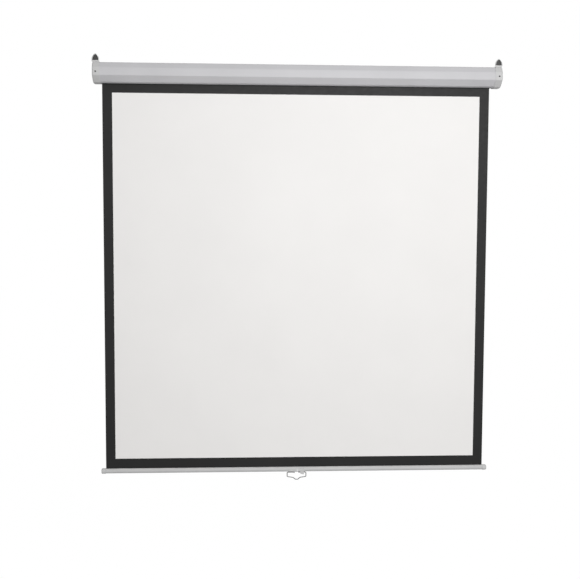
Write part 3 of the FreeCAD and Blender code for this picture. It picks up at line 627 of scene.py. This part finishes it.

# %% [markdown]
# ## Finishes
#
# Four effects are shared, so each is a node group with named sockets: an uneven tone for paint and
# plastic, a fine grain that moves the roughness and the bump together, a lighter tone on upward faces,
# which is a dusting on most pieces and a painted highlight of light from above on the bar, and a weave.
# A finish then sets its own colour, scale and strength. All of them read Object coordinates in metres,
# apart from the main sheet, whose print and weave follow its flat map.

# %% Node helpers
def new_group(name, inputs, outputs):
    group = bpy.data.node_groups.new(name, "ShaderNodeTree")
    for socket, kind, value in inputs:
        made = group.interface.new_socket(name=socket, in_out="INPUT", socket_type=kind)
        if value is not None:
            made.default_value = value
    for socket, kind in outputs:
        group.interface.new_socket(name=socket, in_out="OUTPUT", socket_type=kind)
    return group, group.nodes.new("NodeGroupInput").outputs, group.nodes.new("NodeGroupOutput").inputs


def feed(tree, socket, value):
    """Link a socket to another node's output, or set it to a plain value."""
    if isinstance(value, bpy.types.NodeSocket):
        tree.links.new(value, socket)
    elif value is not None:
        socket.default_value = value


def maths(tree, operation, first, second=None):
    node = tree.nodes.new("ShaderNodeMath")
    node.operation = operation
    feed(tree, node.inputs[0], first)
    feed(tree, node.inputs[1], second)
    return node.outputs[0]


def noise(tree, where, scale, detail):
    node = tree.nodes.new("ShaderNodeTexNoise")
    feed(tree, node.inputs["Vector"], where)
    feed(tree, node.inputs["Scale"], scale)
    node.inputs["Detail"].default_value = detail
    return node.outputs["Fac"]


def mixed(tree, share, first, second):
    node = tree.nodes.new("ShaderNodeMix")
    node.data_type = "RGBA"
    feed(tree, node.inputs["Factor"], share)
    feed(tree, node.inputs["A"], first)
    feed(tree, node.inputs["B"], second)
    return node.outputs["Result"]


def spread(tree, value, low, high, to_low=0.0, to_high=1.0):
    """Stretch the part of a value between two levels over a new span."""
    node = tree.nodes.new("ShaderNodeMapRange")
    feed(tree, node.inputs["Value"], value)
    for socket, number in (("From Min", low), ("From Max", high), ("To Min", to_low), ("To Max", to_high)):
        feed(tree, node.inputs[socket], number)
    return node.outputs["Result"]


# %% Shared effects
FLOAT, COLOUR, VECTOR = "NodeSocketFloat", "NodeSocketColor", "NodeSocketVector"
NOISE_SPAN = (0.3, 0.7)
PATCH_DETAIL, GRAIN_DETAIL = 3.0, 2.0
WIDE_SCALE, WIDE_DETAIL = 14.0, 4.0
SPECK_SCALE, SPECK_DETAIL, SPECK_SPAN = 40.0, 6.0, (0.4, 0.7)
TOP_TONE_FROM, THINNEST_TOP_TONE = 0.55, 0.35
SLUB_SCALE, SLUB_DETAIL = 60.0, 5.0

uneven_tone, given, made = new_group(
    "uneven_tone",
    [("Where", VECTOR, None), ("Colour", COLOUR, None), ("Second", COLOUR, None), ("Scale", FLOAT, 6.0)],
    [("Colour", COLOUR)],
)
patches = noise(uneven_tone, given["Where"], given["Scale"], PATCH_DETAIL)
patch_share = spread(uneven_tone, patches, *NOISE_SPAN)
feed(uneven_tone, made["Colour"], mixed(uneven_tone, patch_share, given["Colour"], given["Second"]))

fine_grain, given, made = new_group(
    "fine_grain",
    [("Where", VECTOR, None), ("Scale", FLOAT, 900.0), ("Smoothest", FLOAT, 0.4), ("Roughest", FLOAT, 0.55)],
    [("Roughness", FLOAT), ("Height", FLOAT)],
)
grain = noise(fine_grain, given["Where"], given["Scale"], GRAIN_DETAIL)
wide = noise(fine_grain, given["Where"], WIDE_SCALE, WIDE_DETAIL)
both = maths(fine_grain, "MULTIPLY", maths(fine_grain, "ADD", grain, wide), 0.5)
roughness = spread(fine_grain, both, *NOISE_SPAN, given["Smoothest"], given["Roughest"])
feed(fine_grain, made["Roughness"], roughness)
feed(fine_grain, made["Height"], grain)

# A lighter tone on upward faces: a dusting on the case and caps, and on the bar a painted highlight of light
# from above.
dust_and_top_light, given, made = new_group(
    "dust_and_top_light",
    [("Where", VECTOR, None), ("Colour", COLOUR, None), ("Dust", COLOUR, None), ("Amount", FLOAT, 0.3)],
    [("Colour", COLOUR)],
)
facing = dust_and_top_light.nodes.new("ShaderNodeSeparateXYZ")
feed(dust_and_top_light, facing.inputs[0], dust_and_top_light.nodes.new("ShaderNodeNewGeometry").outputs["Normal"])
upward = spread(dust_and_top_light, facing.outputs["Z"], TOP_TONE_FROM, 1.0)
spots = noise(dust_and_top_light, given["Where"], SPECK_SCALE, SPECK_DETAIL)
specks = spread(dust_and_top_light, spots, *SPECK_SPAN, THINNEST_TOP_TONE, 1.0)
top_tone_share = maths(dust_and_top_light, "MULTIPLY", maths(dust_and_top_light, "MULTIPLY", upward, specks), given["Amount"])
feed(dust_and_top_light, made["Colour"], mixed(dust_and_top_light, top_tone_share, given["Colour"], given["Dust"]))

woven, given, made = new_group(
    "woven_cloth",
    [("Where", VECTOR, None), ("Threads", FLOAT, 1100.0)],
    [("Height", FLOAT), ("Slubs", FLOAT)],
)
apart = woven.nodes.new("ShaderNodeSeparateXYZ")
feed(woven, apart.inputs[0], given["Where"])
ways = []
for way in ("X", "Y"):
    threads = maths(woven, "MULTIPLY", apart.outputs[way], given["Threads"])
    turns = maths(woven, "MULTIPLY", threads, 2 * math.pi)
    ways.append(maths(woven, "SINE", turns))
feed(woven, made["Height"], maths(woven, "MULTIPLY_ADD", maths(woven, "MULTIPLY", ways[0], ways[1]), 0.5))
feed(woven, made["Slubs"], noise(woven, given["Where"], SLUB_SCALE, SLUB_DETAIL))
print("shared effects:", [g.name for g in bpy.data.node_groups])


# %% Finishes for paint, plastic and metal
def grey(level, warmth=0.0, blue=0.0):
    """A grey that leans to red or to blue by a small share."""
    return (level * (1 + warmth), level, level * (1 - warmth + blue), 1.0)


def place(tree, group, **values):
    node = tree.nodes.new("ShaderNodeGroup")
    node.node_tree = group
    for socket, value in values.items():
        feed(tree, node.inputs[socket], value)
    return node.outputs


def bump(tree, height, strength, distance):
    node = tree.nodes.new("ShaderNodeBump")
    node.inputs["Strength"].default_value = strength
    node.inputs["Distance"].default_value = distance
    feed(tree, node.inputs["Height"], height)
    return node.outputs["Normal"]


def new_finish(name):
    finish = bpy.data.materials.new(name)
    finish.use_nodes = True
    tree = finish.node_tree
    where = tree.nodes.new("ShaderNodeTexCoord").outputs["Object"]
    return finish, tree, tree.nodes["Principled BSDF"].inputs, where


# the lighter tone laid on upward faces: dusting, and on the bar a painted highlight from above
DUST_AND_LIGHT_TONE = grey(0.78, 0.02)
GRAIN_BUMP = 0.6


def hard_finish(name, colour, second, patch, grain_scale, rough, bump_mm, metal=0.0, top_dust_and_light=0.0, shine=0.5):
    """Paint, plastic or metal: an uneven tone, a fine grain and a lighter tone on upward faces, both dusting
    and painted top light.
    """
    finish, tree, shader, where = new_finish(name)
    tone = place(tree, uneven_tone, Where=where, Colour=colour, Second=second, Scale=patch)["Colour"]
    if top_dust_and_light:
        tone = place(tree, dust_and_top_light, Where=where, Colour=tone, Dust=DUST_AND_LIGHT_TONE, Amount=top_dust_and_light)["Colour"]
    surface = place(tree, fine_grain, Where=where, Scale=grain_scale, Smoothest=rough[0], Roughest=rough[1])
    feed(tree, shader["Base Color"], tone)
    feed(tree, shader["Roughness"], surface["Roughness"])
    feed(tree, shader["Normal"], bump(tree, surface["Height"], GRAIN_BUMP, bump_mm * MM))
    shader["Metallic"].default_value = metal
    shader["Specular IOR Level"].default_value = shine
    return finish


CASE_GREY, CASE_GREY_SHADE = grey(0.517, 0.007, 0.037), grey(0.547, 0.007, 0.037)

# colours, patches and grains to a metre, smoothest and roughest, height of the grain in millimetres
finishes = {}
for name, colour, second, patch, grain_scale, rough, bump_mm, more in (
    ("case_paint", CASE_GREY, CASE_GREY_SHADE, 5.0, 1400.0, (0.5, 0.62), 0.05, {"top_dust_and_light": 0.25, "shine": 0.4}),
    ("cap_plastic", grey(0.53), grey(0.56), 9.0, 2200.0, (0.46, 0.6), 0.06, {"top_dust_and_light": 0.25, "shine": 0.4}),
    # on the bar the lighter tone on upward faces is strong: a painted highlight of light from above
    ("bar_paint", grey(0.52), grey(0.55), 6.0, 1400.0, (0.5, 0.62), 0.05, {"top_dust_and_light": 0.7, "shine": 0.3}),
    ("handle_wire", grey(0.16), grey(0.13), 30.0, 1800.0, (0.32, 0.46), 0.03, {"metal": 0.7}),
    ("bracket_zinc", grey(0.52), grey(0.46), 25.0, 900.0, (0.4, 0.55), 0.03, {"metal": 0.3}),
    ("hanger_steel", grey(0.045), grey(0.06), 30.0, 1200.0, (0.5, 0.65), 0.05, {"metal": 0.3, "shine": 0.3}),
    ("screw_black", grey(0.02), grey(0.035), 60.0, 2500.0, (0.3, 0.5), 0.03, {"metal": 0.4}),
    ("screw_zinc", grey(0.62), grey(0.52, 0.02), 60.0, 2500.0, (0.28, 0.45), 0.03, {"metal": 1.0}),
    ("roller_aluminium", grey(0.7), grey(0.62), 8.0, 700.0, (0.3, 0.45), 0.03, {"metal": 1.0}),
    ("plug_plastic", grey(0.05), grey(0.07), 20.0, 1800.0, (0.45, 0.6), 0.05, {}),
    ("bush_nylon", grey(0.72, 0.03), grey(0.66, 0.04), 20.0, 1500.0, (0.4, 0.55), 0.04, {}),
    ("plain_steel", grey(0.45), grey(0.36, 0.02), 30.0, 1600.0, (0.3, 0.5), 0.03, {"metal": 1.0}),
    ("spring_steel", grey(0.2, 0.03), grey(0.13, 0.05), 25.0, 1600.0, (0.3, 0.48), 0.03, {"metal": 1.0}),
):
    finishes[name] = hard_finish(name, colour, second, patch, grain_scale, rough, bump_mm, **more)
print("hard finishes:", list(finishes))

# %% Finishes for the cloth
WHITE, WHITE_SHADE = grey(0.834, 0.015), grey(0.814, 0.015)
BLACK, BLACK_SHADE = grey(0.011), grey(0.015)
BACKING, BACKING_SHADE = grey(0.02), grey(0.028)
THREADS = 900.0
CLOTH_PATCH = 3.0
CLOTH_ROUGH = (0.46, 0.56)
CLOTH_SHINE = 0.17
WEAVE_BUMP, WEAVE_HEIGHT = 0.35, 0.06
WHITE_TOP = -156.0
TOP_BORDER = ROLLER_Z - WHITE_TOP
PRINT_BLUR = 0.4


def cloth(name, colours, on_map=None):
    """Plain cloth on Object coordinates, or the printed sheet on its flat map."""
    finish, tree, shader, where = new_finish(name)
    mapping = tree.nodes.new("ShaderNodeMapping")
    if on_map:
        where = tree.nodes.new("ShaderNodeTexCoord").outputs["UV"]
        mapping.inputs["Scale"].default_value = (*on_map, 1.0)
    else:
        mapping.inputs["Rotation"].default_value = (-QUARTER, 0, 0)
    feed(tree, mapping.inputs["Vector"], where)
    where = mapping.outputs["Vector"]
    tones = [
        place(tree, uneven_tone, Where=where, Colour=one, Second=other, Scale=CLOTH_PATCH)["Colour"]
        for one, other in colours
    ]
    tone = tones[0]
    weave = place(tree, woven, Where=where, Threads=THREADS)
    if on_map:
        apart = tree.nodes.new("ShaderNodeSeparateXYZ")
        feed(tree, apart.inputs[0], where)
        from_left, from_bottom = apart.outputs["X"], apart.outputs["Y"]
        from_right = maths(tree, "SUBTRACT", on_map[0], from_left)
        from_top = maths(tree, "SUBTRACT", on_map[1], from_bottom)
        inside = None
        for reach, border in ((from_left, BORDER), (from_right, BORDER), (from_top, TOP_BORDER)):
            past = spread(tree, reach, (border - PRINT_BLUR) * MM, (border + PRINT_BLUR) * MM)
            inside = past if inside is None else maths(tree, "MULTIPLY", inside, past)
        tone = mixed(tree, inside, tones[1], tones[0])
    feed(tree, shader["Base Color"], tone)
    feed(tree, shader["Roughness"], spread(tree, weave["Slubs"], *NOISE_SPAN, *CLOTH_ROUGH))
    feed(tree, shader["Normal"], bump(tree, weave["Height"], WEAVE_BUMP, WEAVE_HEIGHT * MM))
    shader["Specular IOR Level"].default_value = CLOTH_SHINE
    return finish


white_and_black = ((WHITE, WHITE_SHADE), (BLACK, BLACK_SHADE))
screen_print = cloth("screen_print", white_and_black, (cloth_width, sheet_length * MM))
border_cloth = cloth("border_cloth", ((BLACK, BLACK_SHADE),))
backing_cloth = cloth("backing_cloth", ((BACKING, BACKING_SHADE),))

# %% Dress the modelled pieces
CLOTH_SMOOTH_ANGLE = 40


def dress(obj, finish):
    obj.data.materials.clear()
    obj.data.materials.append(finish)


for piece, finish in (
    ("case_cover", "case_paint"), ("left_cap_moulding", "cap_plastic"), ("right_cap_moulding", "cap_plastic"),
    ("bar_tube", "bar_paint"), ("left_bar_end", "cap_plastic"), ("right_bar_end", "cap_plastic"),
    ("handle_bail", "handle_wire"),
):
    dress(bpy.data.objects[piece], finishes[finish])
for obj, front in ((screen_sheet, screen_print), (lower_border, border_cloth), (roller_turns, backing_cloth)):
    dress(obj, front)
    obj.data.materials.append(backing_cloth)
    give_thickness(obj)
    smooth(obj, CLOTH_SMOOTH_ANGLE)
print("printed sheet has", len(screen_sheet.data.polygons), "faces")

# %% [markdown]
# ## Hang the cloth
#
# The main sheet rides on the case and has a mesh of its own. The border rides on the bar itself, and the
# turns on the roller turn with it.

hand_over(screen_sheet, "case", "screen_cloth", "screen_fabric")
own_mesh(screen_sheet)
hand_over(lower_border, "bar", "screen_cloth", "screen_fabric")
hand_over(roller_turns, "roller", "screen_cloth", "fabric_wraps")

# %% [markdown]
# ## Dress the solids that stay
#
# The screws, plates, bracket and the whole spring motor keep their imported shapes. Each takes the finish
# of what it is made of.

# %% Finishes of the kept solids
kept = {
    "hanger_steel": ["left_hanger_plate", "right_hanger_plate"],
    "screw_black": ["cap_screws"],
    "screw_zinc": ["hanger_screws", "bracket_screws", "spindle_pins", "pawl_pins"],
    "bracket_zinc": ["handle_bracket"],
    "roller_aluminium": ["roller_tube"],
    "plug_plastic": ["idle_plug", "roller_head", "spring_plug", "spring_collar"],
    "bush_nylon": ["idle_bush"],
    "plain_steel": ["spindle", "ratchet_wheel", "idle_pin", "hem_rod", "pawl_upper", "pawl_lower"],
    "spring_steel": ["torsion_spring"],
}
bare = {node for node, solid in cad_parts.items() if not solid.hide_render}
for finish, nodes in kept.items():
    for node in nodes:
        dress(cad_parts[node], finishes[finish])
        bare.discard(node)
print("kept solids left bare:", sorted(bare))

# %% [markdown]
# ## The studio
#
# The screen hangs in front of white. The camera sees the backdrop as plain white, while the object is lit
# by one large soft lamp behind the camera, a little to the right, and by a weak light from all round. So
# the folds of the case keep their shades and the cloth stays just short of white. The floor is far enough
# down to stay out of the way.

# %% Floor, backdrop and light
FLOOR_Z, FLOOR_SIZE = -3.4, 60.0
FLOOR_GREY, FLOOR_GREY_SHADE = grey(0.6), grey(0.63)
FLOOR_PATCH = 0.5
FLOOR_ROUGH = 0.9
FLOOR_WHITE = 0.96
SKY_BELOW, SKY_ABOVE = 0.10, 0.42
FLOOR_GLOW = 1.03
LAMP_PLACE = Vector((0.85, -4.6, 0.2))
LAMP_AIM = Vector((0.0, 0.0, -0.9))
LAMP_WATTS = 164.0
LAMP_SIZE = (1.4, 1.1)


def camera_white(tree, share):
    """One where the camera, a reflection or a clear piece looks, and nothing elsewhere."""
    path = tree.nodes.new("ShaderNodeLightPath").outputs
    seen = maths(tree, "MAXIMUM", path["Is Camera Ray"], path["Is Glossy Ray"])
    return maths(tree, "MULTIPLY", maths(tree, "MAXIMUM", seen, path["Is Transmission Ray"]), share)


world = bpy.data.worlds.new("studio")
bpy.context.scene.world = world
world.use_nodes = True
sky = world.node_tree
apart = sky.nodes.new("ShaderNodeSeparateXYZ")
feed(sky, apart.inputs[0], sky.nodes.new("ShaderNodeTexCoord").outputs["Generated"])
shade = spread(sky, apart.outputs["Z"], -1.0, 1.0, SKY_BELOW, SKY_ABOVE)
feed(sky, sky.nodes["Background"].inputs["Color"], mixed(sky, camera_white(sky, 1.0), shade, grey(1.0)))

bpy.ops.object.select_all(action="DESELECT")
bpy.ops.mesh.primitive_plane_add(size=FLOOR_SIZE, location=(0, 0, FLOOR_Z))
floor = named("floor")
floor_finish, floor_tree, floor_shader, floor_where = new_finish("floor_white")
floor_tone = place(
    floor_tree, uneven_tone, Where=floor_where, Colour=FLOOR_GREY, Second=FLOOR_GREY_SHADE, Scale=FLOOR_PATCH
)
feed(floor_tree, floor_shader["Base Color"], floor_tone["Colour"])
floor_shader["Roughness"].default_value = FLOOR_ROUGH
glow = floor_tree.nodes.new("ShaderNodeEmission")
glow.inputs["Strength"].default_value = FLOOR_GLOW
blend_shaders = floor_tree.nodes.new("ShaderNodeMixShader")
feed(floor_tree, blend_shaders.inputs[0], camera_white(floor_tree, FLOOR_WHITE))
feed(floor_tree, blend_shaders.inputs[1], floor_tree.nodes["Principled BSDF"].outputs[0])
feed(floor_tree, blend_shaders.inputs[2], glow.outputs[0])
feed(floor_tree, floor_tree.nodes["Material Output"].inputs["Surface"], blend_shaders.outputs[0])
floor.data.materials.append(floor_finish)

bpy.ops.object.light_add(type="AREA", location=LAMP_PLACE)
lamp = bpy.context.object
lamp.data.shape = "RECTANGLE"
lamp.data.size, lamp.data.size_y = LAMP_SIZE
lamp.data.energy = LAMP_WATTS
lamp.visible_camera = False
lamp.rotation_euler = (LAMP_AIM - LAMP_PLACE).to_track_quat("-Z", "Y").to_euler()
print("lamp stands", round((LAMP_AIM - LAMP_PLACE).length, 2), "m from the middle of the screen")

# %% [markdown]
# ## The camera
#
# The photograph was taken from a little left of the middle and below the case, with a normal lens. The
# place and the direction were worked out from the corners of the cloth, which is a square of known size.

# %% Camera
CAMERA_PLACE = Vector((-0.28890, -4.43745, -0.71657))
CAMERA_LOOK = Vector((0.05619, 0.99542, -0.07732)).normalized()
CAMERA_ROLL = math.radians(0.25)
FOCAL_PIXELS, IMAGE_WIDTH = 950.0, 580.0
SENSOR_WIDTH = 36.0

level_right = CAMERA_LOOK.cross(Vector((0, 0, 1))).normalized()
level_up = level_right.cross(CAMERA_LOOK)
right = level_right * math.cos(CAMERA_ROLL) + level_up * math.sin(CAMERA_ROLL)
up = right.cross(CAMERA_LOOK)
bpy.ops.object.camera_add()
camera = bpy.context.object
turned = Matrix((right, up, -CAMERA_LOOK)).transposed().to_4x4()
camera.matrix_world = Matrix.Translation(CAMERA_PLACE) @ turned
camera.data.sensor_fit = "HORIZONTAL"
camera.data.sensor_width = SENSOR_WIDTH
camera.data.lens = FOCAL_PIXELS / IMAGE_WIDTH * SENSOR_WIDTH
camera.data.dof.use_dof = False
bpy.context.scene.camera = camera
print("lens of", round(camera.data.lens, 1), "mm on a sensor", SENSOR_WIDTH, "mm wide")
